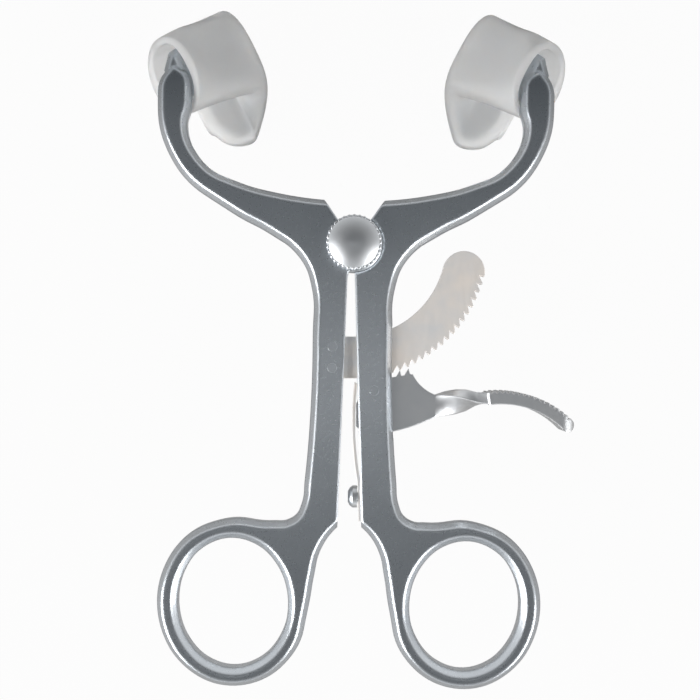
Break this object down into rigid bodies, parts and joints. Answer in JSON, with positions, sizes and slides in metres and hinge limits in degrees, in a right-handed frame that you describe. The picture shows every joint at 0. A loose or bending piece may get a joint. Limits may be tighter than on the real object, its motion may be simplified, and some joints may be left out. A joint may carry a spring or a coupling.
{
  "type": "mouth gag",
  "caption": "Side-action mouth gag: lap-jointed ring-handled arms with hooked, silicone-covered blades, a curved ratchet bar, and a sprung, serrated thumb release lever.",
  "frame": {"origin": "on the pivot axis, in the plane of the arms' flat back faces", "axes": "+Z along the pivot axis towards the knurled head, +Y from the finger rings towards the jaws, +X towards the thumb lever"},
  "size_m": [0.0905, 0.145, 0.0306],
  "materials": {
    "forged_steel": "satin forged stainless steel",
    "plate_steel": "brushed stainless plate",
    "polished_steel": "polished stainless",
    "pin_steel": "ground flush stainless",
    "silicone": "translucent milky silicone"
  },
  "bodies": {
    "left_arm": {"left_arm": "forged_steel", "ratchet_bar": "plate_steel", "ratchet_rivets": "pin_steel", "left_tip_cover": "silicone"},
    "right_arm": {"right_arm": "forged_steel", "right_tip_cover": "silicone", "pivot_screw": "polished_steel", "lever_pin": "pin_steel", "leaf_spring": "plate_steel", "spring_screw": "polished_steel"},
    "release_lever": {"release_lever": "plate_steel"}
  },
  "joints": [
    {"name": "jaw_pivot", "type": "hinge", "parent": "left_arm", "child": "right_arm", "pos_m": [0, 0, 0.00275], "axis": [0, 0, 1], "range_deg": [0, 52.5]},
    {"name": "lever_pivot", "type": "hinge", "parent": "right_arm", "child": "release_lever", "pos_m": [0.0046, -0.0304, 0.00275], "axis": [0, 0, 1], "range_deg": [-8, 9], "stiffness_Nm_per_rad": 0.02, "deforming": ["leaf_spring"]}
  ]
}
